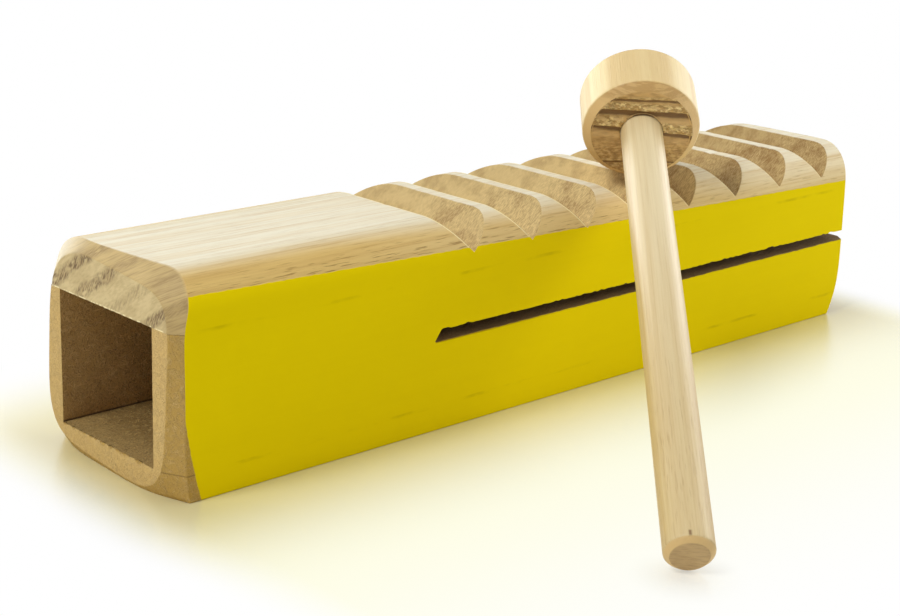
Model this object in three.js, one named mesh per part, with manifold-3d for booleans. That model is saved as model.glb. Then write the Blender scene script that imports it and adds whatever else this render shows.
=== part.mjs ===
// A wooden scraper: a hollow box of four glued boards, open at both ends, with V grooves across
// its top and a saw slit along its sides, and a turned beater leaning on the ridges.
// Millimetres. +X runs from the plain front end to the slit end, -Y is the side that the beater
// leans from, +Z is up, and the origin is the middle of the box's underside.
import * as THREE from 'three';
import { mergeVertices } from 'three/addons/utils/BufferGeometryUtils.js';
import Module from 'manifold-3d';

// Box
const boxLength = 266.5;
const openingWidth = 40;
const sideThickness = 9.2;
const sideHeight = 35.2;
const bottomThickness = 6.9;
const topThickness = 14.1;
const glueLine = 0.1;

// Rounding of the top board's long edges, across and down
const nearRoundWidth = 10.4;
const nearRoundHeight = 10.4;
const farRoundWidth = 18;
const farRoundHeight = 13;

// V grooves across the top board
const grooveCount = 8;
const groovePitch = 22;
const grooveWidth = 18.2;
const grooveDepth = 9.2;
const endLand = 8.1; // from the last groove's rear lip to the slit end

// Saw slit, cut from the rear end through both side boards
const slitLength = 184.5;
const slitHeight = 3;
const slitFloor = 18; // above the bottom board's upper face
const slitSlant = 2.4; // the lower edge of the slit reaches this much further forward

// Sanded ends: the rim left flat on each end is a superellipse, and the sanding slopes back from it
const rimSideInset = 3.6;
const rimTopInset = 3.2;
const rimBottomInset = 1.2;
const rimNearTopPower = 6; // how square each corner of the rim is left: 2 would be round
const rimFarTopPower = 3.5;
const rimBottomPower = 4.5;
const sandReach = 12; // how far the slope spreads outwards from the rim
const sandTopDepth = 12; // how far it runs along the box over that reach, at the top
const sandBottomDepth = 7; // and at the bottom
const frontTwist = 4; // degrees that each rim is turned, as it was sanded by hand
const rearTwist = -2.5;

// Beater
const shaftDiameter = 12;
const shaftReach = 157; // from the foot to the head's near face
const footChamfer = 1.4;
const headDiameter = 33.6;
const headLength = 20.3;
const headChamfer = 2.4;
const socketDepth = 13;
const socketClearance = 0.15;
const socketEndGap = 0.3;
const restGap = 0.3; // between the head and the ridges under it
const beaterHeading = 42.9; // degrees that the beater points from +Y towards +X
const headRidge = 4; // the head rests on the ridge behind this groove, counted from the front
const headInset = 9.7; // the head's lowest point lies this far in from the near side
const headBefore = 3.1; // and this far before that ridge's middle

// Fineness of the facets
const arcSteps = 12;
const rimSteps = 72;
const turnSteps = 56;
const cutMargin = 2; // how far a cutting shape runs past what it cuts
const mergeDistance = 1e-4; // corners closer than this are one corner

const wasm = await Module();
wasm.setup();

// Places worked out from the sizes above
const boxWidth = openingWidth + 2 * sideThickness;
const sideFloor = bottomThickness + glueLine;
const topFloor = sideFloor + sideHeight + glueLine;
const boxHeight = topFloor + topThickness;
const frontX = -boxLength / 2;
const rearX = boxLength / 2;
const nearY = -boxWidth / 2;
const farY = boxWidth / 2;
const lastGrooveX = rearX - endLand - grooveWidth / 2;
const grooveX = (number) => lastGrooveX - (grooveCount - number) * groovePitch;

const alongX = new THREE.Matrix4().makeBasis(
  new THREE.Vector3(0, 1, 0), new THREE.Vector3(0, 0, 1), new THREE.Vector3(1, 0, 0));
const alongY = new THREE.Matrix4().makeBasis(
  new THREE.Vector3(1, 0, 0), new THREE.Vector3(0, 0, 1), new THREE.Vector3(0, -1, 0));

// A closed solid from a geometry, for cutting and joining
function solidOf(geometry) {
  geometry.deleteAttribute('normal');
  geometry.deleteAttribute('uv');
  const merged = mergeVertices(geometry, mergeDistance);
  return new wasm.Manifold(new wasm.Mesh({
    numProp: 3,
    vertProperties: new Float32Array(merged.attributes.position.array),
    triVerts: new Uint32Array(merged.index.array),
  }));
}

function geometryOf(solid) {
  const mesh = solid.getMesh();
  const geometry = new THREE.BufferGeometry();
  geometry.setAttribute('position', new THREE.BufferAttribute(mesh.vertProperties, 3));
  geometry.setIndex(new THREE.BufferAttribute(mesh.triVerts, 1));
  geometry.computeVertexNormals();
  return geometry;
}

// A prism of a YZ outline between two places along X
function prismAlongX(outline, from, to) {
  const geometry = new THREE.ExtrudeGeometry(outline, {
    depth: to - from, bevelEnabled: false, curveSegments: arcSteps });
  return solidOf(geometry.applyMatrix4(alongX).translate(from, 0, 0));
}

// A prism of an XZ outline that runs right across the box
function prismAcross(outline) {
  const depth = boxWidth + 2 * cutMargin;
  const geometry = new THREE.ExtrudeGeometry(outline, { depth, bevelEnabled: false });
  return solidOf(geometry.applyMatrix4(alongY).translate(0, depth / 2, 0));
}

function rectangle(left, right, low, high) {
  const outline = new THREE.Shape();
  outline.moveTo(left, low);
  outline.lineTo(right, low);
  outline.lineTo(right, high);
  outline.lineTo(left, high);
  outline.closePath();
  return outline;
}

// What hand sanding leaves of a bar: sloped back from a superellipse rim at both of its ends
function sandedBar(from, to, twist) {
  const low = rimBottomInset;
  const high = boxHeight - rimTopInset;
  const halfWidth = boxWidth / 2 - rimSideInset;
  const halfHeight = (high - low) / 2;
  const middle = new THREE.Vector2(0, (low + high) / 2);
  const bend = (value, power) => Math.sign(value) * Math.abs(value) ** (2 / power);
  const rim = [];
  for (let step = 0; step < rimSteps; step += 1) {
    const angle = ((step + 0.5) / rimSteps) * 2 * Math.PI;
    const across = Math.cos(angle);
    const up = Math.sin(angle);
    const topPower = across < 0 ? rimNearTopPower : rimFarTopPower;
    const power = up < 0 ? rimBottomPower : topPower;
    const point = new THREE.Vector2(halfWidth * bend(across, power), halfHeight * bend(up, power));
    rim.push(point.rotateAround(new THREE.Vector2(), THREE.MathUtils.degToRad(twist)).add(middle));
  }
  const depth = to - from - 2 * sandTopDepth;
  const geometry = new THREE.ExtrudeGeometry(new THREE.Shape(rim), {
    depth, bevelThickness: sandTopDepth, bevelSize: sandReach, bevelSegments: 1 });

  // The slope gets shallower towards the bottom
  const corners = geometry.attributes.position;
  for (let index = 0; index < corners.count; index += 1) {
    const offMiddle = corners.getZ(index) - depth / 2;
    const onRim = Math.abs(offMiddle) > (depth + sandTopDepth) / 2;
    const height = THREE.MathUtils.clamp(corners.getY(index) / boxHeight, 0, 1);
    const shallower = onRim ? 0 : (1 - height) * (sandTopDepth - sandBottomDepth);
    corners.setZ(index, corners.getZ(index) + Math.sign(offMiddle) * shallower);
  }
  return solidOf(geometry.applyMatrix4(alongX).translate(from + sandTopDepth, 0, 0));
}

const spare = 2 * sandTopDepth;
const frontSanding = sandedBar(frontX, rearX + spare, frontTwist);
const rearSanding = sandedBar(frontX - spare, rearX, rearTwist);

function sanded(board) {
  return board.intersect(frontSanding).intersect(rearSanding);
}

function topBoard() {
  const section = new THREE.Shape();
  section.moveTo(nearY, topFloor);
  section.lineTo(farY, topFloor);
  section.lineTo(farY, boxHeight - farRoundHeight);
  section.absellipse(farY - farRoundWidth, boxHeight - farRoundHeight,
    farRoundWidth, farRoundHeight, 0, Math.PI / 2, false);
  section.lineTo(nearY + nearRoundWidth, boxHeight);
  section.absellipse(nearY + nearRoundWidth, boxHeight - nearRoundHeight,
    nearRoundWidth, nearRoundHeight, Math.PI / 2, Math.PI, false);
  section.closePath();

  const valley = boxHeight - grooveDepth;
  const steepness = (2 * grooveDepth) / grooveWidth;
  const peak = valley + (steepness * groovePitch) / 2; // where two walls would meet above the top
  const above = boxHeight + cutMargin;
  const spread = (above - valley) / steepness;
  const profile = new THREE.Shape();
  profile.moveTo(frontX - cutMargin, topFloor - cutMargin);
  profile.lineTo(rearX + cutMargin, topFloor - cutMargin);
  profile.lineTo(rearX + cutMargin, above);
  profile.lineTo(grooveX(grooveCount) + spread, above);
  for (let number = grooveCount; number > 1; number -= 1) {
    profile.lineTo(grooveX(number), valley);
    profile.lineTo(grooveX(number) - groovePitch / 2, peak);
  }
  profile.lineTo(grooveX(1), valley);
  profile.lineTo(grooveX(1) - spread, above);
  profile.lineTo(frontX - cutMargin, above);
  profile.closePath();

  return sanded(prismAlongX(section, frontX, rearX).intersect(prismAcross(profile)));
}

function sideBoard(outerY, innerY) {
  const left = Math.min(outerY, innerY);
  const right = Math.max(outerY, innerY);
  const board = prismAlongX(rectangle(left, right, sideFloor, sideFloor + sideHeight), frontX, rearX);

  const low = bottomThickness + slitFloor;
  const slit = new THREE.Shape();
  slit.moveTo(rearX - slitLength, low);
  slit.lineTo(rearX + cutMargin, low);
  slit.lineTo(rearX + cutMargin, low + slitHeight);
  slit.lineTo(rearX - slitLength + slitSlant, low + slitHeight);
  slit.closePath();

  return sanded(board.subtract(prismAcross(slit)));
}

function bottomBoard() {
  return sanded(prismAlongX(rectangle(nearY, farY, 0, bottomThickness), frontX, rearX));
}

// The beater's pieces are turned about their own Y axis, with the foot at the origin
function turned(profile) {
  const points = profile.map(([radius, along]) => new THREE.Vector2(radius, along));
  return geometryOf(solidOf(new THREE.LatheGeometry(points, turnSteps)));
}

function beaterShaft() {
  const radius = shaftDiameter / 2;
  const tip = shaftReach + socketDepth - socketEndGap;
  return turned([
    [0, 0], [radius - footChamfer, 0], [radius, footChamfer], [radius, tip], [0, tip],
  ]);
}

function beaterHead() {
  const radius = headDiameter / 2;
  const bore = shaftDiameter / 2 + socketClearance;
  const near = shaftReach;
  const far = shaftReach + headLength;
  return turned([
    [0, near + socketDepth], [bore, near + socketDepth], [bore, near],
    [radius - headChamfer, near], [radius, near + headChamfer],
    [radius, far - headChamfer], [radius - headChamfer, far], [0, far],
  ]);
}

// The beater leans from the floor, where the edge of its foot stands, to the ridges, where the
// rim of its head lies just clear of the top. Its lean follows from those two heights.
function placeBeater(beater) {
  const footRadius = shaftDiameter / 2;
  const run = shaftReach + headChamfer - footChamfer;
  const step = (headDiameter - shaftDiameter) / 2;
  const lean = Math.asin((boxHeight + restGap) / Math.hypot(run, step)) + Math.atan2(step, run);
  const heading = THREE.MathUtils.degToRad(beaterHeading);
  const rise = footRadius * Math.cos(lean) - footChamfer * Math.sin(lean);

  const rimAlong = (shaftReach + headChamfer) * Math.cos(lean) + (headDiameter / 2) * Math.sin(lean);
  const rimX = grooveX(headRidge) + groovePitch / 2 - headBefore;
  const rimY = nearY + headInset;
  beater.position.set(rimX - rimAlong * Math.sin(heading), rimY - rimAlong * Math.cos(heading), rise);
  beater.rotation.set(lean, 0, -heading, 'ZYX');
}

const bareWood = new THREE.MeshStandardMaterial({ color: 0xdcc59b, roughness: 0.7, metalness: 0 });
const paintedBoard = new THREE.MeshStandardMaterial({ color: 0xd8c000, roughness: 0.5, metalness: 0 });
const paleWood = new THREE.MeshStandardMaterial({ color: 0xe8d6b0, roughness: 0.6, metalness: 0 });

function named(name, geometry, material) {
  const mesh = new THREE.Mesh(geometry, material);
  mesh.name = name;
  return mesh;
}

const scraper = new THREE.Group();
scraper.add(
  named('top_board', geometryOf(topBoard()), bareWood),
  named('near_side_board', geometryOf(sideBoard(nearY, nearY + sideThickness)), paintedBoard),
  named('far_side_board', geometryOf(sideBoard(farY, farY - sideThickness)), paintedBoard),
  named('bottom_board', geometryOf(bottomBoard()), paintedBoard),
);

const beater = new THREE.Group();
beater.add(
  named('beater_shaft', beaterShaft(), paleWood),
  named('beater_head', beaterHead(), paleWood),
);
placeBeater(beater);
scraper.add(beater);

export default scraper;
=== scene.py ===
import math

import bmesh
import bpy
import numpy as np
from mathutils import Matrix, Vector, noise


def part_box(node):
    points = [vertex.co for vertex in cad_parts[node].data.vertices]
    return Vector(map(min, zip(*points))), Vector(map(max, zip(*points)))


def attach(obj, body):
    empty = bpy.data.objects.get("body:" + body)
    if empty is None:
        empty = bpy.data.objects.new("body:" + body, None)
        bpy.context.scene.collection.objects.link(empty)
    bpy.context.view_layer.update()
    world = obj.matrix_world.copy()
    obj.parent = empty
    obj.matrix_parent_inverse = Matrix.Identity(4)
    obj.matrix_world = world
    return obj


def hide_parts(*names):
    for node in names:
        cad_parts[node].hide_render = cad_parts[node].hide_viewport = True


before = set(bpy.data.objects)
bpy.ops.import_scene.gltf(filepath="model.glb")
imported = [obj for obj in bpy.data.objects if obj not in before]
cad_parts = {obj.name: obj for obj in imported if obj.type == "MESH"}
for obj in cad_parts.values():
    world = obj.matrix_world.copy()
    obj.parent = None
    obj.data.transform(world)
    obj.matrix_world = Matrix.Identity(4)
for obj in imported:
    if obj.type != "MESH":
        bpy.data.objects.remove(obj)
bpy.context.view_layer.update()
mm = 0.001  # sizes below are millimetres, the scene is in metres
edge = 0.35  # a second lattice line this close to each edge makes it shade as a small round
samePlace = 0.01  # places closer than this are one place


def nodeBox(name):  # lowest and highest corner of a CAD node, in millimetres
    low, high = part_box(name)
    return np.array(low) / mm, np.array(high) / mm


topLow, topHigh = nodeBox("top_board")
nearLow, nearHigh = nodeBox("near_side_board")
farLow, farHigh = nodeBox("far_side_board")
baseLow, baseHigh = nodeBox("bottom_board")
frontX, rearX = topLow[0], topHigh[0]
nearY, farY = nearLow[1], farHigh[1]
tubeNear, tubeFar = nearHigh[1], farLow[1]
boxHeight = topHigh[2]
lowerJoint = (baseHigh[2] + nearLow[2]) / 2  # boards meet here, with the glue squeezed out
upperJoint = (nearHigh[2] + topLow[2]) / 2


def beaterPose():  # the stick's foot and axes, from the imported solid
    points = np.array([v.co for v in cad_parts["beater_shaft"].data.vertices])
    middle = points.mean(0)
    axis = np.linalg.svd(points - middle, full_matrices=False)[2][0]
    axis = axis * np.sign(axis[2])
    foot = middle + axis * ((points - middle) @ axis).min()
    across = np.cross(axis, (0, 0, 1))
    across /= np.linalg.norm(across)
    return foot, np.array([across, axis, np.cross(across, axis)])


beaterFoot, beaterAxes = beaterPose()
print("frame loaded, box", np.round(topHigh - baseLow, 1))


# small tools for meshes

seedSteps = 7.31, 3.17, 5.59  # how far apart the seeds lie in the noise
wear = {"crease": 24.0, "ease": 0.3, "sharp": 60.0}  # degrees, share and degrees


def lines(start, *runs):  # lattice lines: each run is (end, number of steps)
    found = [np.array([start])]
    for end, steps in runs:
        found.append(np.linspace(found[-1][-1], end, steps + 1)[1:])
    return np.concatenate(found)


def layers(low, rim, high, lowRuns, highRuns):  # lattice lines from low to the rim, and from it to high
    below = low + (rim - low)[..., None] * lines(0, *lowRuns)
    above = rim[..., None] + (high - rim)[..., None] * lines(0, *highRuns)[1:]
    return np.concatenate([below, above], 2)


def share(values):  # kept within 0 and 1
    return np.clip(values, 0, 1)


def wander(points, size, seed):  # smooth noise from about -1 to 1 at points in millimetres
    shift = Vector([seed * step for step in seedSteps])
    flat = np.asarray(points, float).reshape(-1, 3) / size
    values = [noise.noise(Vector(point) + shift) for point in flat]
    return np.array(values).reshape(np.shape(points)[:-1])


def shellQuads(solid):  # outer faces of a lattice of cells: vertex numbers, axis, side and cell
    counts = tuple(np.array(solid.shape) + 1)
    numbers = np.arange(np.prod(counts)).reshape(counts)
    padded = np.pad(solid, 1)
    found = []
    for axis in range(3):
        for side, way in ((0, -1), (1, 1)):
            first, second = (axis + way) % 3, (axis - way) % 3
            beyond = np.roll(padded, -way, axis)[1:-1, 1:-1, 1:-1]
            cells = np.argwhere(solid & ~beyond)
            steps = np.zeros((4, 3), int)
            steps[:, axis] = side
            steps[1:3, first] = 1
            steps[2:, second] = 1
            corners = np.moveaxis(cells[:, None] + steps, 2, 0)
            axes, sides = np.full(len(cells), axis), np.full(len(cells), side)
            found.append((numbers[tuple(corners)], axes, sides, cells))
    return [np.concatenate(parts) for parts in zip(*found)]


def meshObject(name, points, faces, materials, slots=None):  # points in metres
    mesh = bpy.data.meshes.new(name)
    mesh.from_pydata([tuple(p) for p in points], [], [tuple(f) for f in faces])
    for material in materials:
        mesh.materials.append(material)
    if slots is not None:
        mesh.polygons.foreach_set("material_index", np.asarray(slots, np.int32))
    mesh.shade_smooth()
    mesh.update()
    made = bpy.data.objects.new(name, mesh)
    bpy.context.scene.collection.objects.link(made)
    return made


def atJoint(vertex):  # glued edges stay flush with the next board
    return min(abs(vertex.co.z / mm - level) for level in (lowerJoint, upperJoint)) < samePlace


def easeCreases(made):  # takes the sharpness off every open crease, as handling does
    work = bmesh.new()
    work.from_mesh(made.data)
    least = math.radians(wear["crease"])
    creases = [e for e in work.edges if len(e.link_faces) == 2 and e.calc_face_angle(0) > least]
    paler = list({v for e in creases for v in e.verts if not atJoint(v)})
    bmesh.ops.smooth_vert(
        work, verts=paler, factor=wear["ease"], use_axis_x=True, use_axis_y=True, use_axis_z=True)
    work.to_mesh(made.data)
    work.free()
    made.data.update()


def boardObject(name, place, finishOf, materials, sawn=False):  # a board from a lattice of places
    solid = np.ones(np.array(place[0].shape) - 1, bool) & ~np.asarray(sawn)
    quads, axes, sides, cells = shellQuads(solid)
    used, numbers = np.unique(quads, return_inverse=True)
    points = np.stack(place, -1).reshape(-1, 3)[used] * mm
    made = meshObject(name, points, numbers.reshape(-1, 4), materials, finishOf(axes, sides, cells))
    easeCreases(made)
    made.data.set_sharp_from_angle(angle=math.radians(wear["sharp"]))
    return made


# shader wires: arithmetic on a wire adds Math nodes

def operator(operation, swapped=False):
    def method(self, *others):
        values = (*others, self) if swapped else (self, *others)
        return self.nodes.add("Math", {"operation": operation}, dict(enumerate(values)))
    return method


class Wire:
    __add__ = __radd__ = operator("ADD")
    __sub__, __rsub__ = operator("SUBTRACT"), operator("SUBTRACT", swapped=True)
    __mul__ = __rmul__ = operator("MULTIPLY")
    __truediv__ = operator("DIVIDE")
    __pow__ = operator("POWER")
    __abs__ = operator("ABSOLUTE")
    fract = operator("FRACT")
    atLeast = operator("MAXIMUM")
    atMost = operator("MINIMUM")

    def __init__(self, nodes, socket):
        self.nodes = nodes
        self.socket = socket

    def rise(self, low, high):  # 0 below low, 1 above high, smooth between
        sockets = {"Value": self, "From Min": low, "From Max": high}
        return self.nodes.add("MapRange", {"interpolation_type": "SMOOTHSTEP"}, sockets)

    def near(self, level, core, reach):  # 1 within core of the level, 0 beyond reach
        return 1 - abs(self - level).rise(core, reach)


class Nodes:  # a tree of shader nodes
    def __init__(self, tree):
        self.tree = tree

    def add(self, kind, settings=None, sockets=None, out=0):
        node = self.tree.nodes.new("ShaderNode" + kind)
        for key, value in (settings or {}).items():
            setattr(node, key, value)
        for key, value in (sockets or {}).items():
            self.set(node.inputs[key], value)
        return Wire(self, node.outputs[out])

    def set(self, target, value):
        if isinstance(value, Wire):
            self.tree.links.new(value.socket, target)
        else:
            target.default_value = value

    def forCamera(self):  # 1 for rays from the camera, and for what gloss and glass show
        kinds = "Is Camera Ray", "Is Glossy Ray", "Is Transmission Ray"
        camera, glossy, through = (self.add("LightPath", out=kind) for kind in kinds)
        return camera.atLeast(glossy).atLeast(through)


class Finish(Nodes):  # one material
    def __init__(self, name):
        self.material = bpy.data.materials.new(name)
        self.material.use_nodes = True
        super().__init__(self.material.node_tree)
        self.surface = self.tree.nodes["Principled BSDF"]

    def dress(self, **sockets):  # sets the surface's own sockets
        for key, value in sockets.items():
            self.set(self.surface.inputs[key.replace("_", " ")], value)
        return self.material

    def along(self, vector, axes):  # the vector's part along each axis
        project = {"operation": "DOT_PRODUCT"}
        return [self.add("VectorMath", project, {0: vector, 1: tuple(axis)}, "Value") for axis in axes]

    def place(self, origin=(0, 0, 0), axes=((1, 0, 0), (0, 1, 0), (0, 0, 1))):  # in millimetres
        point = self.add("TexCoord", out="Object")
        moved = self.add("VectorMath", {"operation": "SUBTRACT"}, {0: point, 1: tuple(origin)})
        scaled = self.add("VectorMath", {"operation": "SCALE"}, {0: moved, "Scale": 1 / mm})
        return self.along(scaled, axes)

    def facing(self, axis):  # how squarely the piece faces along this axis, either way
        return abs(self.along(self.add("TexCoord", out="Normal"), [axis])[0])

    def grain(self, where, sizes, detail=3.0, roughness=0.55, marks=None, curl=0.0):
        shrunk = [part / size for part, size in zip(where, sizes)]
        vector = self.add("CombineXYZ", None, dict(enumerate(shrunk)))
        sockets = {"Vector": vector, "Scale": 1.0, "Detail": detail, "Roughness": roughness}
        found = self.add("TexNoise", None, {**sockets, "Distortion": curl})  # from 0 to 1
        return found.rise(*marks) if marks else found

    def grains(self, where, table):  # every grain of a table, in its order
        return [self.grain(where, *settings) for settings in table.values()]

    def mix(self, amount, *colours):
        first, second = (value if isinstance(value, Wire) else (*value, 1.0) for value in colours)
        return self.add("Mix", {"data_type": "RGBA"}, {0: amount, 6: first, 7: second}, 2)

    def over(self, colour, *coats):  # lays each coat, an amount and a colour, over what is there
        for amount, coat in coats:
            colour = self.mix(amount, colour, coat)
        return colour


def tint(red, green, blue):  # a colour as seen on screen, 0 to 255, made linear
    parts = [value / 255 for value in (red, green, blue)]
    return tuple(p / 12.92 if p <= 0.04045 else ((p + 0.055) / 1.055) ** 2.4 for p in parts)


def bare(finish, parts, depth, gloss=0.3):  # a surface from its colour, height and roughness
    colour, height, roughness = parts
    normal = finish.add("Bump", None, {"Height": height, "Strength": 1.0, "Distance": depth * mm})
    return finish.dress(Base_Color=colour, Roughness=roughness, Specular_IOR_Level=gloss, Normal=normal)


# wood along and across its grain, for the top board and the beater

# each grain: size along, across and up, detail, roughness, the levels where marks start and are full
growthSway = ((140, 24, 24), 2.0)
longMarks = {
    "streak": ((70, 1.3, 1.3), 5.0, 0.65, (0.35, 0.72)),
    "hair": ((22, 0.45, 0.45), 3.0, 0.6, (0.4, 0.75)),
    "pores": ((6.0, 0.36, 0.36), 1.0, 0.55, (0.58, 0.72)),
}
crossMarks = {
    "stipple": ((9, 2.6, 0.5), 2.0, 0.5, (0.40, 0.68)),
    "patch": ((16, 9, 9), 2.0, 0.55, (0.42, 0.68)),
}


def growthBands(finish, where, wood):  # 1 in the middle of each band, round a pith outside the piece
    _, across, up = where
    sway = finish.grain(where, *growthSway) - 0.5
    aside, over = across - wood["pith"][0], up - wood["pith"][1]
    reach = (aside * aside + over * over) ** 0.5 + sway * (4 * wood["wanderBy"])
    phase = (reach / wood["ring"] - (wood["ringShift"] - 0.5)).fract()
    return phase.near(0.5, wood["bandHalf"] * 0.4, wood["bandHalf"])


def longGrain(finish, where, wood, pale, poreAmount):  # colour and height where a cut follows the grain
    band = growthBands(finish, where, wood)
    streak, hair, pores = finish.grains(where, longMarks)
    colour = finish.mix(pale, wood["straw"], wood["pale"])
    deep = finish.mix(pale, wood["line"], wood["straw"])
    colour = finish.over(
        colour, (streak * wood["streaks"] + band * wood["bands"], deep),
        (hair * streak * wood["hairs"], wood["line"]), (pores * poreAmount, wood["pore"]))
    return colour, hair * 0.3 - pores * poreAmount


def crossGrain(finish, where, wood):  # colour and height where a cut crosses the grain
    stipple, patch = finish.grains(where, crossMarks)
    colour = finish.mix(stipple * 0.45 + patch * 0.3, wood["end"], wood["endDark"])
    return colour, stipple * -1


# the top board's wood

topWood = {
    "pale": tint(240, 233, 209), "straw": tint(223, 191, 120), "line": tint(190, 150, 88),
    "pore": tint(152, 114, 64), "streaks": 0.26, "bands": 0.08, "hairs": 0.55,
    "end": tint(208, 187, 138), "endDark": tint(156, 129, 83), "bevel": tint(206, 180, 124),
    # lip: the colour of the painted highlights along the groove lips and the end's lower edge
    "wall": tint(217, 191, 131), "wallDark": tint(146, 112, 60), "lip": tint(252, 238, 186),
    "fleck": tint(106, 82, 52), "roughness": 0.6, "relief": 0.22,
    "pith": (-48.0, -27.5), "ring": 7.5, "ringShift": 0.08, "bandHalf": 0.17, "wanderBy": 1.2,
    "growthWay": (0.53, 0.85),  # across and up, square to the growth bands on the front end
    "fleckBands": [(49.5, 1.0), (42.2, 0.9), (34.4, 0.35), (26.4, 0.9)],  # place along it, strength
}
topGrain = {
    "strokes": ((0.22, 0.9, 40), 2.0),
    "wallPatch": ((30, 6, 5), 3.0, 0.6, (0.42, 0.64)),
    "wobble": ((30, 6, 6), 2.0),
    "smears": ((3.0, 1.7, 0.38), 2.0, 0.5, (0.37, 0.62)),
    "clusters": ((20, 4.0, 1.8), 1.0, 0.55, (0.26, 0.48)),
    "paler": ((3, 1.1, 3), 2.0, 0.55, (0.44, 0.56)),
}
endMarks = {
    "mottle": ((4, 2.0, 0.6), 2.0, 0.5, (0.40, 0.68)),
    "cloud": ((20, 9, 4), 2.0, 0.55, (0.38, 0.66)),
    "rings": ((12, 7, 0.5), 3.0, 0.6, (0.42, 0.70)),
}


def wallGrain(finish, where):  # groove walls: fibres torn down the slope, in light and dark strokes
    along, across, up = where
    slanted = across + along * 0.15, up, along
    strokes = finish.grain(slanted, *topGrain["strokes"])
    patch = finish.grain(where, *topGrain["wallPatch"])
    clear = 1 - across.rise(-16, 6) * 0.75  # the saw came out cleaner on the far side
    # a little browner towards the far side, and darker towards the rear: partly the walls' browner wood,
    # partly painted shade under and past the beater's head
    brown = across.rise(-6, 14) * 0.12 + along.rise(40, 95) * 0.32
    amount = strokes.rise(0.36, 0.64) * clear * 0.55 + patch * 0.32 + brown
    colour = finish.mix(amount, topWood["wall"], topWood["wallDark"])
    return colour, strokes * clear * 0.4


def endFlecks(finish, where, turned, square):  # open pores in strokes, in clusters along the growth bands
    along, course, reach = turned
    wobble = (finish.grain(where, *topGrain["wobble"]) - 0.5) * 2.4
    bands = 0.0
    for level, strength in topWood["fleckBands"]:
        bands = (reach + wobble).near(level, 0.6, 2.3) * strength + bands
    leaning = along, course, reach + course * 0.55  # the strokes lean across their band
    smears = finish.grain(leaning, *topGrain["smears"])
    clusters = finish.grain(turned, *topGrain["clusters"])
    return bands * clusters, smears * bands * clusters * (0.3 + square * 0.6)


def endGrain(finish, where, square):  # sanded ends: flecks on the flat rim, and growth lines on the slopes
    along, across, up = where
    wood = topWood
    lean, lift = wood["growthWay"]
    turned = along, across * lift - up * lean, across * lean + up * lift
    clusters, flecks = endFlecks(finish, where, turned, square)
    mottle, cloud, rings = finish.grains(turned, endMarks)
    paler = finish.grain(where, *topGrain["paler"])
    # painted highlight: a thin light line along the end's lower edge, over the tube's mouth, broken into
    # patches
    lip = (1 - (up - upperJoint).rise(0.15, 0.5)) * square * paler
    flat = finish.mix(mottle * 0.22 + cloud * 0.3, wood["end"], wood["endDark"])
    shaded = rings * 0.45 + cloud * 0.3 + (1 - across.rise(-27, 2)) * 0.15
    colour = finish.over(
        wood["bevel"], (shaded, wood["endDark"]), (across.rise(6, 26) * 0.7, wood["pale"]), (square, flat),
        (clusters * 0.45, wood["endDark"]), (flecks, wood["fleck"]), (lip * 0.8, wood["lip"]))
    return colour, flecks * -0.5 - mottle * 0.2


def grooveLipHighlights(where):  # a painted highlight: a thin light line along each groove's front edge
    along, _, up = where
    pitch, depth = topBoard["pitch"], topBoard["depth"]
    first = grooveCentres()[0]
    phase = ((along - first) / pitch + 0.5).fract() - 0.5
    half = (up - (boxHeight - depth)) * (topBoard["width"] / 2 / depth)
    line = (abs(phase) * pitch - half).near(0.0, 0.25, 0.6) * (1 - phase.rise(-0.02, 0.02))
    return line * (along - first).rise(-pitch / 2, -pitch / 2 + 0.1) * (1 - along.rise(10, 60) * 0.7)


def upperGrain(finish, where):  # the planed and rounded wood over the grooves, with painted light: the pale wood reaches further down the rounding towards the rear, and covers the far side
    along, across, up = where
    toMiddle, toRear = along.rise(-90, 10), along.rise(20, 125)
    fall = 3.0 + toMiddle * 7.0 + toRear * 19.0  # how far down the pale wood reaches; its growth along the board is painted light
    pale = (((up - boxHeight) / fall + 1).atLeast(0.0) ** 2.6).atLeast(across.rise(12, 24))
    pale = pale.atLeast(along.rise(-90, -30) * 0.15)
    lowEdge = 1 - up.rise(upperJoint + 4, upperJoint + 12)
    rounding = 1 - up.rise(boxHeight - 6, boxHeight - 1)
    pores = 0.15 + (rounding * 0.3 + lowEdge * 0.4) * (1 - along.rise(0, 80) * 0.75)
    colour, height = longGrain(finish, where, topWood, pale, pores)
    return finish.mix(grooveLipHighlights(where) * 0.9, colour, topWood["lip"]), height


def topParts(finish):  # place, then colour, height and roughness of the top board
    where = finish.place()
    along = where[0]
    facing = finish.facing((1, 0, 0))
    colour, height = upperGrain(finish, where)
    wall, wallHeight = wallGrain(finish, where)
    end, endHeight = endGrain(finish, where, facing.rise(0.94, 0.99))
    atEnd = (1 - (along - frontX).rise(16, 22)) + (along - rearX).rise(-7, -6)
    cut = facing.rise(0.30, 0.62)
    colour = finish.mix(cut, colour, finish.mix(atEnd, wall, end))
    height = height * (1 - cut) + (wallHeight * (1 - atEnd) + endHeight * atEnd) * cut
    return where, (colour, height, topWood["roughness"])


# paint and fibreboard

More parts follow.
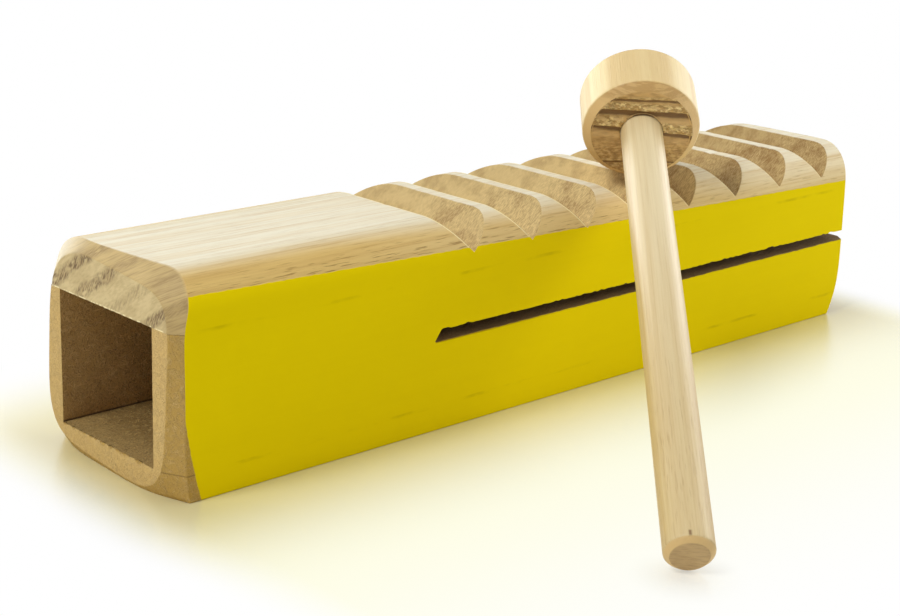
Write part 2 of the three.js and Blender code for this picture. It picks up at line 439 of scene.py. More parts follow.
paint = {
    "colour": tint(236, 212, 0), "deep": tint(226, 201, 0), "joint": tint(186, 162, 0),
    "scorch": tint(120, 76, 22), "roughness": 0.6, "gloss": 0.02, "thickness": 0.6, "relief": 0.14,
    "ragged": (2.2, 2.2, 2.2),  # size of the breaks along its edges
    "lineFront": 50.9, "lineFall": 0.0231,  # the upper edge falls towards the rear
    "edgeLeast": 1.6, "edgeGain": 5.8, "edgeHeight": 40.0,  # how far back the front edge was sanded
}
paintGrain = {
    "cloud": ((70, 25, 18),),
    "peel": ((1.6, 1.3, 1.3), 2.0),
    "brush": ((120, 1.4, 1.4),),
    "broken": ((16, 6, 6), 3.0, 0.55, (0.48, 0.72)),
}
plainBoard = {"fibres": 0.45, "seam": 0.0, "gap": 0.0, "paler": 0.0, "roughness": 0.85, "relief": 0.16}
fibreboard = {
    **plainBoard, "seam": 0.5,
    "colour": tint(202, 168, 103), "light": tint(219, 192, 132), "dark": tint(164, 127, 73),
    # bevel: darker colour for the sanded slopes of the ends, a painted shade where they turn from the
    # light
    "strand": tint(218, 188, 130), "bevel": tint(179, 144, 70), "joint": tint(92, 64, 34),
}
# painted shade: the next three boards are darker copies of the fibreboard, for the faces inside the tube
# and inside the slit
tubeShade = {
    **plainBoard, "fibres": 0.75, "gap": 0.8,
    "colour": tint(184, 148, 90), "light": tint(206, 171, 112), "dark": tint(123, 92, 50),
    "strand": tint(212, 174, 120), "bevel": tint(178, 140, 86), "joint": tint(52, 34, 18),
}
tubeFloorShade = {
    **plainBoard, "fibres": 0.7, "paler": 0.5,
    "colour": tint(124, 98, 51), "light": tint(143, 116, 64), "dark": tint(84, 62, 30),
    "strand": tint(190, 160, 100), "bevel": tint(124, 98, 51), "joint": tint(52, 34, 18),
}
slitShade = {
    **plainBoard,
    "colour": tint(138, 110, 68), "light": tint(160, 132, 86), "dark": tint(92, 68, 40),
    "strand": tint(160, 132, 86), "bevel": tint(138, 110, 68), "joint": tint(92, 68, 40),
}
boardGrain = {  # a fifth value is how much the noise curls
    "fibre": ((2.2, 0.34, 0.34), 4.0, 0.65, None, 0.6),
    "cross": ((1.1, 1.1, 1.6), 4.0, 0.6, None, 3.0),
    "speck": ((0.45, 0.45, 0.45), 2.0, 0.55, (0.58, 0.7)),
    "strands": ((3.2, 2.4, 2.4), 4.0, 0.62, None, 1.0),
    "cloud": ((24, 14, 14),),
}


def atJoints(up, core, reach):  # 1 on the glue joints under and over the side boards
    return up.near(lowerJoint, core, reach).atLeast(up.near(upperJoint, core, reach))


def paintParts(finish, where):  # colour, height and roughness of the brushed paint
    along, _, up = where
    cloud, peel, brush, broken = finish.grains(where, paintGrain)
    joints = atJoints(up, 0.15, 0.7) * broken
    start = along - slitFront
    below = slitLow - up + (brush - 0.5) * 0.6
    scorch = below.near(0.0, 0.1, 0.5) * start.rise(0, 1) * (1 - start.rise(8, 60) * 0.8)
    colour = finish.over(
        paint["colour"], (cloud * 0.45 + brush * 0.25, paint["deep"]),
        (joints * 0.6, paint["joint"]), (scorch * 0.7, paint["scorch"]))
    return colour, peel * 0.2 + brush * 0.2 - joints * 0.25, paint["roughness"] + cloud * 0.1


def boardParts(finish, where, board):  # colour, height and roughness of raw fibreboard
    along, _, up = where
    fibre, cross, speck, strands, cloud = finish.grains(where, boardGrain)
    strands = strands.near(0.5, 0.006, 0.03)
    sloped = 1 - finish.facing((1, 0, 0)).rise(0.93, 0.985)
    upright = finish.facing((0, 1, 0)).rise(0.8, 0.95)
    # paler strands towards the front end, used on the tube floor: partly frayed fibre at the mouth, partly
    # painted light reaching into the tube
    paler = 1 - (along - frontX).rise(3, 16)
    tubeCorner = up.near(lowerJoint, 0.25, 0.7) * upright * board["gap"]
    seam = atJoints(up, 0.05, 0.28) * sloped * board["seam"]
    # sloped faces take the bevel colour, a painted shade on the raw ends
    colour = finish.over(
        board["colour"], (fibre.rise(0.4, 0.7) * 0.5 + cloud * 0.2, board["light"]),
        (sloped * 0.8, board["bevel"]), (paler * board["paler"], board["strand"]),
        (cross.rise(0.46, 0.66) * board["fibres"], board["dark"]), (speck * 0.3, board["dark"]),
        (strands * board["fibres"], board["strand"]), (seam.atLeast(tubeCorner), board["joint"]))
    return colour, fibre * 0.5 + cross * 0.5 + strands * 0.5 - speck * 0.3, board["roughness"]


def paintCover(finish, where):  # 1 where the paint covers, 0 above its line and where sanding took it off
    along, _, up = where
    ragged = finish.grain(where, paint["ragged"]) - 0.5
    line = paint["lineFront"] - (along - frontX) * paint["lineFall"]
    below = (line - up + ragged * 0.5).rise(-0.12, 0.12)
    drop = (paint["edgeHeight"] - up) / paint["edgeHeight"]
    sandedOff = paint["edgeLeast"] + drop * drop * paint["edgeGain"]
    return below * (along - frontX - sandedOff + ragged * 0.7).rise(-0.2, 0.2)


def overPaint(finish, where, under):  # paint over a bare surface, up to the paint's edges
    cover = paintCover(finish, where)
    coat = paintParts(finish, where)
    colour = finish.mix(cover, under[0], coat[0])
    height = under[1] * (1 - cover) + (coat[1] + paint["thickness"]) * cover
    roughness = under[2] * (1 - cover) + coat[2] * cover
    return bare(finish, (colour, height, roughness), paint["relief"], paint["gloss"])


def makeTopWood():
    finish = Finish("scraper_wood")
    return bare(finish, topParts(finish)[1], topWood["relief"])


def makePaintedWood():
    finish = Finish("painted_wood")
    return overPaint(finish, *topParts(finish))


def makeFibreboard(name, board):
    finish = Finish(name)
    return bare(finish, boardParts(finish, finish.place(), board), board["relief"])


def makePaintedFibreboard():
    finish = Finish("painted_fibreboard")
    where = finish.place()
    return overPaint(finish, where, boardParts(finish, where, fibreboard))


# sanded ends: the rim left flat is a superellipse, and the sanding slopes back from it

sanding = {
    "sideInset": 3.6, "topInset": 3.2, "bottomInset": 1.2,
    "nearTopPower": 6.0, "farTopPower": 3.5, "bottomPower": 4.5,
    "frontTwist": 4.0, "rearTwist": -2.5, "zone": 18.0,
    "frontSlopes": (0.45, 0.75, 1.22, 0.78),  # at the near bottom, far bottom, near top and far top
    "rearSlopes": (0.80, 0.70, 0.80, 0.85),
    "rimSteps": 2400,
}
rimMiddle = (sanding["bottomInset"] + boxHeight - sanding["topInset"]) / 2
rimHalfHeight = boxHeight - sanding["topInset"] - rimMiddle
rimHalfWidth = (farY - nearY) / 2 - sanding["sideInset"]


def cornerPower(across, up):  # how square the rim's corner is in that quarter
    top = np.where(across < 0, sanding["nearTopPower"], sanding["farTopPower"])
    return np.where(up < 0, sanding["bottomPower"], top)


def turnedBy(degrees, across, up):
    turn = math.radians(degrees)
    return across * math.cos(turn) - up * math.sin(turn), across * math.sin(turn) + up * math.cos(turn)


def rimCurve(twist):  # the rim's points, as Y and Z
    angle = (np.arange(sanding["rimSteps"]) + 0.5) / sanding["rimSteps"] * 2 * math.pi
    power = 2 / cornerPower(np.cos(angle), np.sin(angle))
    across = rimHalfWidth * np.sign(np.cos(angle)) * np.abs(np.cos(angle)) ** power
    up = rimHalfHeight * np.sign(np.sin(angle)) * np.abs(np.sin(angle)) ** power
    across, up = turnedBy(twist, across, up)
    points = np.stack([across, up + rimMiddle], -1)
    closed = np.concatenate([points, points[:1]])
    length = np.concatenate([[0], np.cumsum(np.hypot(*np.diff(closed, axis=0).T))])
    even = np.linspace(0, length[-1], sanding["rimSteps"], endpoint=False)
    return np.stack([np.interp(even, length, closed[:, key]) for key in (0, 1)], -1)


frontRim, rearRim = rimCurve(sanding["frontTwist"]), rimCurve(sanding["rearTwist"])


def rimAt(stations, key, places, upperHalf):  # the rim's other coordinate there, blended from end to end
    toRear = ((stations - frontX) / (rearX - frontX))[:, None]
    other = 1 - key
    middle = (0.0, rimMiddle)[other]
    found = []
    for rim in (frontRim, rearRim):
        half = rim[rim[:, other] > middle] if upperHalf else rim[rim[:, other] < middle]
        order = np.argsort(half[:, key])
        found.append(np.interp(places, half[order, key], half[order, other]))
    return found[0] * (1 - toRear) + found[1] * toRear


def sandedBack(across, up, rim, twist, slopes):  # how far back from the end the sanding has cut
    y, z = turnedBy(-twist, across, up - rimMiddle)
    power = cornerPower(y, z)
    outside = np.abs(y / rimHalfWidth) ** power + np.abs(z / rimHalfHeight) ** power > 1
    points = np.stack([across.ravel(), up.ravel()], -1)
    nearest = [np.sqrt(((rim - point) ** 2).sum(1).min()) for point in points]
    distance = np.array(nearest).reshape(across.shape) * outside
    u = share((across - nearY) / (farY - nearY))
    v = share(up / boxHeight)
    nearBottom, farBottom, nearTop, farTop = slopes
    low = nearBottom * (1 - u) + farBottom * u
    high = nearTop * (1 - u) + farTop * u
    return distance * (low * (1 - v) + high * v)


def sandEnds(x, y, z, rearZone=sanding["zone"]):  # draws the lattice back to the sanded ends
    front = sandedBack(y[0], z[0], frontRim, sanding["frontTwist"], sanding["frontSlopes"])
    rear = sandedBack(y[-1], z[-1], rearRim, sanding["rearTwist"], sanding["rearSlopes"])
    frontShare = share(1 - (x - frontX) / sanding["zone"])
    rearShare = share(1 - (rearX - x) / rearZone)
    return x + frontShare * front - rearShare * rear


def frayMouth(x, y, z, row, fray):  # tears the edge of the tube's mouth, which is this row of the lattice
    inTube = (y[0] > tubeNear - fray["past"]) & (y[0] < tubeFar + fray["past"])
    inTube &= np.arange(z.shape[2]) == row
    torn = wander(np.stack([x[0], y[0], z[0]], -1), fray["size"], fray["seed"]) + fray["more"]
    x[0] += inTube * share(torn) * fray["depth"]


# top board

topBoard = {
    "nearRound": (10.4, 10.4), "farRound": (18.0, 13.0),  # across and down
    "grooves": 8, "pitch": 22.0, "width": 18.2, "depth": 9.2, "endLand": 8.1, "wallSteps": 11,
    "belowRim": [(0.04, 1), (0.94, 5), (1, 1)], "aboveRim": [(0.08, 1), (0.9, 5), (1, 1)],
    "chatter": 0.10, "chatterNoise": (2.6, 3),  # depth, then size and seed
    "chips": 0.55, "chipNoise": (2.2, 5), "chipFrom": 0.42,
    "fray": {"depth": 0.5, "past": 1.0, "size": 1.3, "seed": 8, "more": 0.0},
}
nearShares = np.append(np.linspace(0, 0.97, 13), 1.0)
midShares = lines(0, (0.012, 1), (0.988, 40), (1, 1))[1:]
farShares = lines(0, (0.02, 1), (1, 15))[1:]


def grooveCentres():
    last = rearX - topBoard["endLand"] - topBoard["width"] / 2
    return [last - number * topBoard["pitch"] for number in reversed(range(topBoard["grooves"]))]


def topStations():  # lattice lines along the top board
    half = topBoard["width"] / 2
    steps = topBoard["wallSteps"]
    firstLip = grooveCentres()[0] - half
    runs = [(frontX + edge, 1), (frontX + 5, 6), (firstLip - edge, 26), (firstLip, 1)]
    for centre in grooveCentres():
        runs += [(centre - half + edge, 1), (centre - edge, steps), (centre, 1), (centre + edge, 1)]
        runs += [(centre + half - edge, steps), (centre + half, 1), (centre + half + edge, 1)]
        ridgeEnd = centre + topBoard["pitch"] - half
        if ridgeEnd < rearX:
            runs += [(ridgeEnd - edge, 3), (ridgeEnd, 1)]
    runs += [(rearX - edge, 8), (rearX, 1)]
    return lines(frontX, *runs)


def grooveHeight(x):  # the height of the ridges and groove walls along the board
    steep = topBoard["depth"] / (topBoard["width"] / 2)
    floor = boxHeight - topBoard["depth"]
    walls = [floor + steep * np.abs(x - centre) for centre in grooveCentres()]
    return np.minimum(np.min(walls, axis=0), boxHeight)


def longEdge(start, inward, size, height, shares):  # Y and Z round a long edge, as far as the wood is left
    across, down = size
    reach = np.arcsin(share((height - (boxHeight - down)) / down))[:, None]
    turn = reach * shares
    return start + inward * across * (1 - np.cos(turn)), boxHeight - down * (1 - np.sin(turn))


def roughened(stations, y, z):  # saw chatter on the groove walls, and chips out of their lips
    height = z[:, :1]
    spots = np.stack([np.broadcast_to(stations[:, None], z.shape), y, z], -1)
    onWall = (height < boxHeight - 0.05) & (height > boxHeight - topBoard["depth"] + 0.05)
    onLip = np.abs(height - boxHeight) < 1e-6
    onLip &= stations[:, None] > grooveCentres()[0] - topBoard["width"]
    inner = np.minimum(midShares, 1 - midShares) > 0.02
    chatter = topBoard["chatter"] * wander(spots, *topBoard["chatterNoise"])
    chip = wander(spots, *topBoard["chipNoise"]) - topBoard["chipFrom"]
    return z + onWall * inner * chatter - onLip * inner * share(chip) * topBoard["chips"]


def topSurface(stations):  # Y and Z across the upper surface, at each station
    height = grooveHeight(stations)
    yNear, zNear = longEdge(nearY, 1, topBoard["nearRound"], height, nearShares)
    yFar, zFar = longEdge(farY, -1, topBoard["farRound"], height, 1 - farShares)
    lipNear = yNear[:, -1:]
    lipFar, _ = longEdge(farY, -1, topBoard["farRound"], height, 1.0)
    yMid = lipNear + (lipFar - lipNear) * midShares
    zMid = roughened(stations, yMid, np.repeat(height[:, None], len(midShares), 1))
    return np.concatenate([yNear, yMid, yFar], 1), np.concatenate([zNear, zMid, zFar], 1)


def buildTopBoard():
    stations = topStations()
    yTop, zTop = topSurface(stations)
    tall = zTop - upperJoint
    rim = np.clip(rimAt(stations, 0, yTop, True), upperJoint + 0.1 * tall, zTop - 0.05 * tall)
    z = layers(upperJoint, rim, zTop, topBoard["belowRim"], topBoard["aboveRim"])
    y = np.repeat(yTop[..., None], z.shape[2], 2)
    x = sandEnds(stations[:, None, None], y, z, topBoard["endLand"])
    frayMouth(x, y, z, 0, topBoard["fray"])
    lastNear, lastMid = len(nearShares) - 1, len(nearShares) + len(midShares) - 1

    def finishOf(axes, sides, cells):
        rounded = (cells[:, 1] < lastNear) | (cells[:, 1] >= lastMid)
        outside = (axes == 2) & (sides == 1) & rounded
        return (outside | (axes == 1)).astype(int)

    return boardObject("grooved_top", (x, y, z), finishOf, [bareWood, paintedWood])


# side boards, with the saw slit from the rear end

sideBoards = {
    "slitLength": 184.5, "slitHeight": 3.0, "slitLow": 24.9, "slitSlant": 2.4,
    "slitSweep": 7.0, "slitFade": 30.0, "slitSteps": 310,
    "outside": [(0.09, 1), (0.9, 3), (1, 1)], "inside": [(0.07, 1), (0.95, 5), (1, 1)],
    "chips": 0.85, "chipFrom": 0.16, "chipReach": 2.4, "lowChips": 0.35, "teeth": 0.25, "waver": 0.12,
    "noises": [(1.7, 11), (0.9, 27), (6.0, 13)],  # size and seed for chips, teeth and waver
}
slitFront = rearX - sideBoards["slitLength"]
slitLow = sideBoards["slitLow"]
slitTop = slitLow + sideBoards["slitHeight"]


def sideLattice(outer, inner, nearSide):  # lines along and up the board, and places before the sawing
    stations = lines(
        frontX, (frontX + edge, 1), (frontX + 6, 6), (slitFront - edge, 20), (slitFront, 1),
        (slitFront + edge, 1), (rearX - edge, sideBoards["slitSteps"]), (rearX, 1))
    rows = lines(
        lowerJoint, (lowerJoint + edge, 1), (slitLow - edge, 9), (slitLow, 1), (slitTop, 1),
        (slitTop + edge, 1), (upperJoint - edge, 7), (upperJoint, 1))
    rim = rimAt(stations, 1, np.broadcast_to(rows, (len(stations), len(rows))), not nearSide)
    y = layers(outer, rim, inner, sideBoards["outside"], sideBoards["inside"])
    if not nearSide:
        y = y[..., ::-1]
    y = y.transpose(0, 2, 1)
    x = np.broadcast_to(stations[:, None, None], y.shape).copy()
    return stations, rows, (x, y, np.broadcast_to(rows, y.shape).copy())


def sawSlit(x, y, z, outer, inner):  # the slit's front end slants, and the blade swept its inner part back
    saw = sideBoards
    fade = share(1 - np.abs(x - slitFront) / saw["slitFade"])
    level = share((z - slitLow) / saw["slitHeight"])
    x += fade * (saw["slitSlant"] * level + saw["slitSweep"] * np.abs(y - outer) / abs(inner - outer))


def chipSlit(stations, rows, place, outer, more):  # chips and small teeth along both edges of the slit
    saw = sideBoards
    topRow, lowRow = (np.argmin(np.abs(rows - level)) for level in (slitTop, slitLow))
    spots = np.stack(place, -1)[:, :, topRow]
    chips, teeth, waver = (wander(spots, size, seed + more) for size, seed in saw["noises"])
    skin = share(1 - np.abs(spots[..., 1] - outer) / saw["chipReach"])
    bite = share(chips - saw["chipFrom"]) * saw["chips"] + share(teeth) * saw["teeth"]
    waver = waver * saw["waver"]
    inSlit = (stations > slitFront - samePlace)[:, None]
    place[2][:, :, topRow] += inSlit * (bite * skin + waver)
    place[2][:, :, lowRow] += inSlit * (waver - saw["lowChips"] * bite[::-1] * skin)


def buildSideBoard(name, nearSide):
    outer, inner = (nearY, tubeNear) if nearSide else (farY, tubeFar)
    stations, rows, (x, y, z) = sideLattice(outer, inner, nearSide)
    sawSlit(x, y, z, outer, inner)
    chipSlit(stations, rows, (x, y, z), outer, int(nearSide))
    x = sandEnds(x, y, z)
    slitCells = (rows[:-1] > slitLow - samePlace) & (rows[1:] < slitTop + samePlace)
    sawn = (stations[:-1] > slitFront - samePlace)[:, None, None] & slitCells
    outsideSide = 0 if nearSide else 1

    def finishOf(axes, sides, cells):
        outside = (axes == 1) & (sides == outsideSide)
        inside = (axes == 1) & (sides != outsideSide)
        atEnds = (axes == 0) & ((cells[:, 0] == 0) | (cells[:, 0] == len(stations) - 2))
        return np.select([atEnds, outside, inside], [0, 1, 2], 3)

    return boardObject(name, (x, y, z), finishOf, [rawBoard, paintedBoard, tubeShadeBoard, slitShadeBoard], sawn)


# bottom board

bottomBoard = {
    "rimLeast": 0.35, "rimUnder": 0.5,  # least height of the rim, and least wood left over it
    "belowRim": [(0.2, 1), (0.9, 2), (1, 1)], "aboveRim": [(0.06, 1), (0.95, 4), (1, 1)],
    "fray": {"depth": 1.1, "past": -0.3, "size": 0.8, "seed": 17, "more": 0.15},
}


def buildBottomBoard():
    stations = lines(
        frontX, (frontX + edge, 1), (frontX + 6, 6), (rearX - 6, 52), (rearX - edge, 6), (rearX, 1))
    columns = lines(nearY, (nearY + edge, 1), (tubeNear, 12), (tubeFar, 80), (farY - edge, 12), (farY, 1))
    grid = np.broadcast_to(columns, (len(stations), len(columns)))
    rim = rimAt(stations, 0, grid, False)
    rim = np.clip(rim, bottomBoard["rimLeast"], lowerJoint - bottomBoard["rimUnder"])
    z = layers(0, rim, lowerJoint, bottomBoard["belowRim"], bottomBoard["aboveRim"])
    y = np.broadcast_to(grid[..., None], z.shape)
    x = sandEnds(stations[:, None, None], y, z)
    frayMouth(x, y, z, z.shape[2] - 1, bottomBoard["fray"])

    def finishOf(axes, sides, cells):
        outside = (axes == 1) | ((axes == 2) & (sides == 0))
        return np.where(axes == 0, 0, np.where(outside, 1, 2))

    return boardObject("base_board", (x, y, z), finishOf, [rawBoard, paintedBoard, tubeFloorShadeBoard])


bareWood = makeTopWood()
paintedWood = makePaintedWood()
rawBoard = makeFibreboard("raw_fibreboard", fibreboard)
# painted shade: darker finishes for the faces inside the tube and the slit
tubeShadeBoard = makeFibreboard("tube_fibreboard_shaded", tubeShade)
tubeFloorShadeBoard = makeFibreboard("tube_floor_shaded", tubeFloorShade)
slitShadeBoard = makeFibreboard("slit_fibreboard_shaded", slitShade)
paintedBoard = makePaintedFibreboard()
print("finishes of the box made")

topPiece = buildTopBoard()
nearPiece = buildSideBoard("near_board", True)
farPiece = buildSideBoard("far_board", False)
basePiece = buildBottomBoard()
boardPieces = [
    (topPiece, "top_board", "bare_wood"), (nearPiece, "near_side_board", "painted_board"),
    (farPiece, "far_side_board", "painted_board"), (basePiece, "bottom_board", "painted_board"),
]
for piece, node, slotName in boardPieces:
    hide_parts(node)
    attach(piece, "box")
print("boards made,", sum(len(piece.data.polygons) for piece, _, _ in boardPieces), "faces")


# beater: pieces are turned about the stick, with the foot at the origin and the stick along Y

turnSegments = 192  # facets round a turned piece


def beaterPlace(finish):  # the grain runs along the stick, and so does the head's
    across, axis, up = beaterAxes
    return finish.place(beaterFoot, (axis, across, up)), finish.facing(axis)


def turnedObject(name, profile, material, shape):  # profile: radius and place along, from pole to pole
    count = turnSegments
    here = np.arange(count)
    angle = here / count * 2 * math.pi
    profile = np.array(profile)
    rings = profile[1:-1]
    radii, places = rings[:, :1], rings[:, 1:]
    points = [radii * np.cos(angle), np.repeat(places, count, 1), radii * -np.sin(angle)]
    points = np.stack(points, -1).reshape(-1, 3)
    points = shape(np.concatenate([points, [[0, profile[0, 1], 0], [0, profile[-1, 1], 0]]]))
    after = (here + 1) % count
    outer = (len(rings) - 1) * count
    faces = []
    for ring in range(0, outer, count):
        faces += zip(ring + here, ring + count + here, ring + count + after, ring + after)
    for step, other in zip(here, after):
        faces += [(len(points) - 2, step, other), (len(points) - 1, outer + other, outer + step)]
    return meshObject(name, beaterFoot + points * mm @ beaterAxes, faces, [material])


def softened(points, soft):  # a profile with a small round in place of each inner corner
    points = [np.array(p, float) for p in points]
    found = [points[0]]
    for before, point, after in zip(points, points[1:], points[2:]):
        enter = point + (before - point) / np.linalg.norm(before - point) * soft
        leave = point + (after - point) / np.linalg.norm(after - point) * soft
        found += [enter, (enter + 2 * point + leave) / 4, leave]
    return found + [points[-1]]


def filled(points, step):  # a profile with long stretches cut up
    found = [points[0]]
    for start, end in zip(points, points[1:]):
        steps = max(1, round(math.dist(start, end) / step))
        found += list(np.linspace(start, end, steps + 1)[1:])
    return found


beaterWood = {"pith": (4.0, -90.0), "ring": 6.6, "ringShift": 0.0, "wanderBy": 0.8, "gloss": 0.4}
stick = {
    "diameter": 12.0, "reach": 157.0, "chamfer": 1.4, "soft": 0.3, "step": 3.0,
    "uneven": 0.004, "unevenNoise": (9.0, 21), "stretch": (1, 0.25, 1),  # share, size and seed
}
stickWood = {
    **beaterWood, "bandHalf": 0.30, "roughness": 0.5, "relief": 0.12, "coatRoughness": 0.38,
    "pale": tint(231, 213, 170), "straw": tint(205, 178, 120), "line": tint(188, 154, 98),
    "pore": tint(172, 136, 88), "streaks": 0.45, "bands": 0.5, "hairs": 0.35, "chip": tint(118, 80, 40),
    "end": tint(196, 164, 112), "endDark": tint(166, 134, 86), "chamfer": tint(214, 180, 120),
}


def makeStickWood():  # the pores show near the foot
    finish = Finish("stick_wood")
    wood = stickWood
    where, facing = beaterPlace(finish)
    along, across, up = where
    # painted light: paler towards the head, where the stick is lit more
    pale = 0.5 + along.rise(40, 140) * 0.5
    colour, height = longGrain(finish, where, wood, pale, (1 - along.rise(30, 90)) * 0.3)
    end, endHeight = crossGrain(finish, where, wood)
    foot = facing.rise(0.85, 0.97)
    chip = along.near(2.0, 0.4, 1.0) * across.near(-0.5, 0.15, 0.5) * up.rise(0, 3)
    colour = finish.over(
        colour, (facing.rise(0.5, 0.7), wood["chamfer"]), (foot, end), (chip * 0.8, wood["chip"]))
    height = height * (1 - foot) + endHeight * foot * 0.4
    coat = 0.08 + along.rise(30, 110) * 0.4
    finish.dress(Coat_Weight=coat, Coat_Roughness=wood["coatRoughness"])
    return bare(finish, (colour, height, wood["roughness"]), wood["relief"], wood["gloss"])


def buildStick(material):
    radius, chamfer = stick["diameter"] / 2, stick["chamfer"]
    tip = stick["reach"] + head["socketDepth"] - head["socketEndGap"]
    outline = [(0, 0), (radius - chamfer, 0), (radius, chamfer), (radius, tip), (0, tip)]

    def uneven(points):  # a sanded stick is never quite round or straight
        lean = wander(points * stick["stretch"], *stick["unevenNoise"])[:, None] * (1, 0, 1)
        return points + points * lean * stick["uneven"]

    profile = filled(softened(outline, stick["soft"]), stick["step"])
    return turnedObject("beater_stick", profile, material, uneven)


head = {
    "diameter": 33.6, "length": 20.3, "chamfer": 2.4, "soft": 0.35, "step": 0.4,
    "socketDepth": 13.0, "socketClearance": 0.15, "socketEndGap": 0.3,
    "furrows": [  # height, thickness, tilt, depth, height of the torn ledge over it
        (11.1, 0.9, 0.0, 0.5, 1.2), (6.3, 1.9, -0.03, 1.1, 3.7), (0.2, 1.4, -0.10, 0.8, 4.2),
        (-10.2, 0.6, 0.02, 0.3, 0.6),
    ],
    "torn": 0.45, "lumpNoise": (1.6, 25), "lumpStretch": (1, 1, 1.5),  # depth, size and seed
    "waver": 0.25, "waverNoise": (3.0, 23), "faceDeep": 0.3,
}
headWood = {
    **beaterWood, "bandHalf": 0.22, "roughness": 0.45, "relief": 0.2, "coat": 0.1, "coatRoughness": 0.4,
    "pale": tint(241, 219, 163), "straw": tint(220, 188, 127), "line": tint(206, 172, 114),
    "pore": tint(200, 164, 106), "pores": 0.12, "streaks": 0.25, "bands": 0.6, "hairs": 0.15,
    "end": tint(212, 172, 108), "endDark": tint(158, 120, 64), "chamfer": tint(220, 184, 122),
    # furrow: the dark colour, painted shadow in the furrows
    "torn": tint(250, 220, 152), "ledge": tint(186, 148, 88), "furrow": tint(112, 78, 38),
}
faceGrain = {"waver": ((6, 4, 4),), "fray": ((1.6, 1.5, 0.9), 3.0, 0.6)}
rimWaves = ((5, 5, 0.7), 3.0, 0.6, (0.46, 0.60))


def headFace(finish, where):  # dark furrows and torn bands over them follow the growth rings; the furrows' dark colour is painted shadow under each torn ledge, over furrows cut into the mesh, and the pale lumps on the torn bands are partly painted light on the ledges
    _, across, up = where
    wood = headWood
    face, height = crossGrain(finish, where, wood)
    waver, fray = finish.grains(where, faceGrain)
    waver = (waver - 0.5) * 0.9
    lumps = fray.rise(0.44, 0.58)
    torn, dark = 0.0, 0.0
    for level, thick, tilt, _, ledge in head["furrows"]:
        off = up - level - across * tilt + waver
        dark = off.near(0.0, thick * 0.3, thick * 0.75) + dark
        over = off.rise(thick * 0.5, thick * 0.5 + 0.4)
        torn = over * (1 - (off + fray * 1.2).rise(ledge, ledge + 1.2)) + torn
    below = 1 - up.rise(-7, 0)
    face = finish.over(
        face, ((1 - up.rise(-14, 1)) * 0.8, wood["endDark"]),
        (below * fray.rise(0.5, 0.62) * 0.3, wood["torn"]),
        (below * (1 - fray.rise(0.38, 0.48)) * 0.4, wood["furrow"]), (torn * 0.8, wood["ledge"]),
        (torn * lumps, wood["torn"]), (dark.atMost(1.0) * 0.9, wood["furrow"]))
    return face, height * 0.4 + lumps * torn * 1.5


def makeHeadWood():
    finish = Finish("head_wood")
    wood = headWood
    where, facing = beaterPlace(finish)
    colour, height = longGrain(finish, where, wood, 1.0, wood["pores"])
    face, faceHeight = headFace(finish, where)
    square = facing.rise(0.85, 0.97)
    wavy = finish.grain(where, *rimWaves)
    # painted shade: the upper part of the chamfer ring, which faces down, takes the darker ledge colour
    rim = finish.mix(where[2].rise(9, 13) * (1 - wavy * 0.5), wood["chamfer"], wood["ledge"])
    colour = finish.over(colour, (facing.rise(0.5, 0.7), rim), (square, face))
    height = height * (1 - square) + faceHeight * square
    finish.dress(Coat_Weight=wood["coat"], Coat_Roughness=wood["coatRoughness"])
    return bare(finish, (colour, height, wood["roughness"]), wood["relief"], wood["gloss"])


def buildHead(material):
    radius, chamfer = head["diameter"] / 2, head["chamfer"]
    bore = stick["diameter"] / 2 + head["socketClearance"]
    near = stick["reach"]
    far = near + head["length"]
    floor = near + head["socketDepth"]
    outline = [
        (0, floor), (bore, floor), (bore, near), (radius - chamfer, near), (radius, near + chamfer),
        (radius, far - chamfer), (radius - chamfer, far), (0, far)]

    def tornFaces(points):  # the saw tore soft growth out of both faces, in furrows
        radial = np.hypot(points[:, 0], points[:, 2])
        onFace = share((radius - chamfer - 0.05 - radial) / 0.3)
        nearFace = onFace * (np.abs(points[:, 1] - near) < head["faceDeep"]) * (radial > bore - 0.2)
        farFace = onFace * (np.abs(points[:, 1] - far) < head["faceDeep"])
        waver = head["waver"] * wander(points, *head["waverNoise"])
        lumps = wander(points * head["lumpStretch"], *head["lumpNoise"])
        lumps = share(lumps * 1.6 + 0.3)
        cut, torn = np.zeros(len(points)), np.zeros(len(points))
        for level, thick, tilt, depth, ledge in head["furrows"]:
            off = points[:, 2] - level - tilt * points[:, 0] - waver
            slope = np.where(off > 0, (thick * 0.7 - off) / 0.4, 1 + (off + thick * 0.4) / 2.2)
            cut = np.maximum(cut, depth * share(slope))
            overIt = share((off - thick * 0.5) / 0.4) * share((ledge - off) / 0.6)
            torn = np.maximum(torn, head["torn"] * lumps * overIt)
        moved = points.copy()
        moved[:, 1] += (cut + torn) * nearFace - (cut + torn) * farFace
        return moved

    profile = filled(softened(outline, head["soft"]), head["step"])
    return turnedObject("beater_disc", profile, material, tornFaces)


stickPiece = buildStick(makeStickWood())
headPiece = buildHead(makeHeadWood())
for piece, node in ((stickPiece, "beater_shaft"), (headPiece, "beater_head")):
    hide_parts(node)
    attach(piece, "beater")
print("beater made,", len(stickPiece.data.polygons) + len(headPiece.data.polygons), "faces")


# floor, light and camera

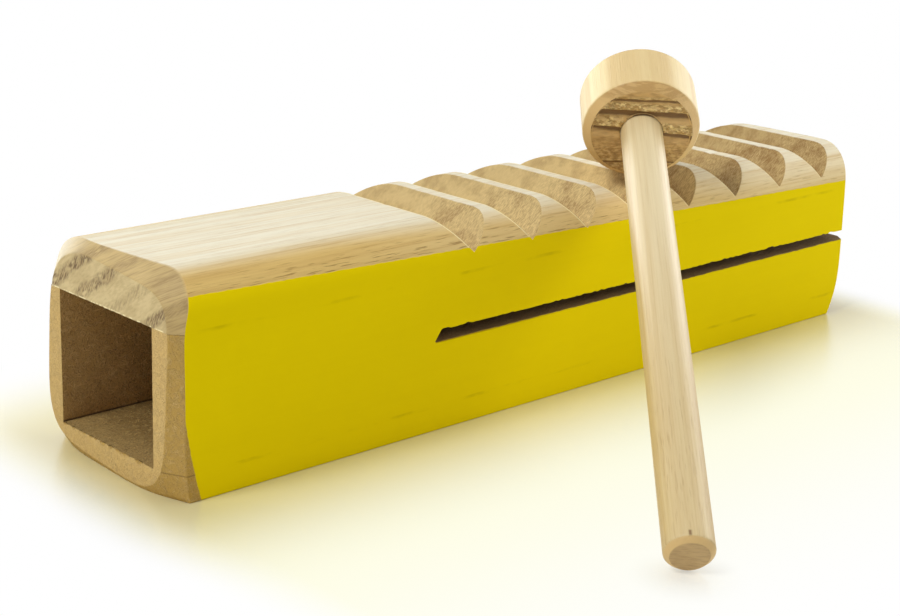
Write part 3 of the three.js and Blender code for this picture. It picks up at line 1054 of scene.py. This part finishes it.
studio = {
    # floorNear and glowColour are tinted yellow near the box: painted shade and painted yellow bounce from
    # the paint
    "floorSize": 6.0, "floorDrop": 0.05, "floorNear": (0.72, 0.66, 0.37), "floorFar": (0.97, 0.97, 0.88),
    "floorRoughness": 0.25, "floorIor": 2.4,
    "glowColour": (1.0, 0.99, 0.76), "glowMost": 0.98, "glowReach": 55.0,
    "whiteFrom": 15.0, "whiteTo": 140.0, "footGlow": 0.45, "footClear": 15.0, "worldLevel": 0.15,
    "lamps": {  # place in metres, size in metres, power in watts
        "key": ((-0.82, 0.0, 0.95), 0.4, 9.2),
        "overhead": ((0.05, 0.15, 1.25), 0.6, 1.6),
        "left": ((0.0, 1.25, 0.30), 1.0, 7.0),
        "right": ((0.42, -0.50, 0.35), 0.6, 1.75),
        "edge": ((0.80, -0.08, 0.25), 0.5, 2.0),
    },
    "aim": (0.0, 0.0, 0.03),
}


def floorFinish():  # darker and yellower near the box, a painted shade and a painted yellow bounce from the paint; whitening and glowing away from it, less where the beater stands
    finish = Finish("pale_floor")
    along, across, _ = finish.place()
    past = (abs(along) - rearX).atLeast(0.0) * 2  # beyond the ends it whitens sooner
    aside = (abs(across) - farY).atLeast(0.0)
    behind = (across - farY).atLeast(0.0)
    away = (past * past + aside * aside) ** 0.5
    white = (away + past * 2 + behind * 2).rise(studio["whiteFrom"], studio["whiteTo"])
    ground = finish.mix(away.rise(0.0, studio["glowReach"]), studio["floorNear"], studio["floorFar"])
    finish.dress(Base_Color=ground, Roughness=studio["floorRoughness"], IOR=studio["floorIor"])
    besideX, besideY = along - beaterFoot[0] / mm, across - beaterFoot[1] / mm
    toFoot = (besideX * besideX + besideY * besideY) ** 0.5
    lit = away.rise(0.0, studio["glowReach"]) * studio["glowMost"] + white * (1 - studio["glowMost"])
    clear = studio["footGlow"] + toFoot.rise(0.0, studio["footClear"]) * (1 - studio["footGlow"])
    amount = lit * clear * finish.forCamera()
    shade = finish.mix(white, studio["glowColour"], (1, 1, 1))
    glow = finish.add("Emission", None, {"Color": shade, "Strength": 1.0})
    surface = Wire(finish, finish.surface.outputs[0])
    shown = finish.add("MixShader", None, {0: amount, 1: surface, 2: glow})
    finish.set(finish.tree.nodes["Material Output"].inputs["Surface"], shown)
    return finish.material


def buildFloor():
    half = studio["floorSize"] / 2
    level = -studio["floorDrop"] * mm
    corners = [(-half, -half, level), (half, -half, level), (half, half, level), (-half, half, level)]
    floor = meshObject("floor", corners, [(0, 1, 2, 3)], [floorFinish()])


def buildLight():
    world = bpy.data.worlds.new("studio")
    bpy.context.scene.world = world
    world.use_nodes = True
    nodes = Nodes(world.node_tree)
    background = nodes.tree.nodes["Background"]
    nodes.set(background.inputs["Color"], (1, 1, 1, 1))
    level = studio["worldLevel"]
    nodes.set(background.inputs["Strength"], level + nodes.forCamera() * (1 - level))
    for name, (place, size, power) in studio["lamps"].items():
        light = bpy.data.lights.new(name, "AREA")
        light.shape = "DISK"
        light.size = size
        light.energy = power
        lamp = bpy.data.objects.new(name, light)
        lamp.location = place
        lamp.rotation_euler = (Vector(studio["aim"]) - Vector(place)).to_track_quat("-Z", "Y").to_euler()
        bpy.context.scene.collection.objects.link(lamp)


view = {
    "target": (-16.1, 2.2, 20.2), "distance": 520.0, "azimuth": -43.78, "elevation": 16.93, "roll": 2.125,
    "focalPixels": 1808.5, "imageWidth": 900, "sensor": 36.0, "clipStart": 0.01,
}


def buildCamera():
    turn, lift = math.radians(view["azimuth"]), math.radians(view["elevation"])
    back = Vector((math.sin(turn) * math.cos(lift), -math.cos(turn) * math.cos(lift), math.sin(lift)))
    data = bpy.data.cameras.new("camera")
    data.sensor_width = view["sensor"]
    data.lens = view["focalPixels"] / view["imageWidth"] * view["sensor"]
    data.clip_start = view["clipStart"]
    camera = bpy.data.objects.new("camera", data)
    level = (-back).to_track_quat("-Z", "Y").to_matrix().to_4x4()
    spin = Matrix.Rotation(math.radians(view["roll"]), 4, "Z")
    place = Matrix.Translation((Vector(view["target"]) + back * view["distance"]) * mm)
    camera.matrix_world = place @ level @ spin
    bpy.context.scene.collection.objects.link(camera)
    bpy.context.scene.camera = camera


buildFloor()
buildLight()
buildCamera()
bpy.context.scene.view_settings.view_transform = "Standard"
print("stage set")
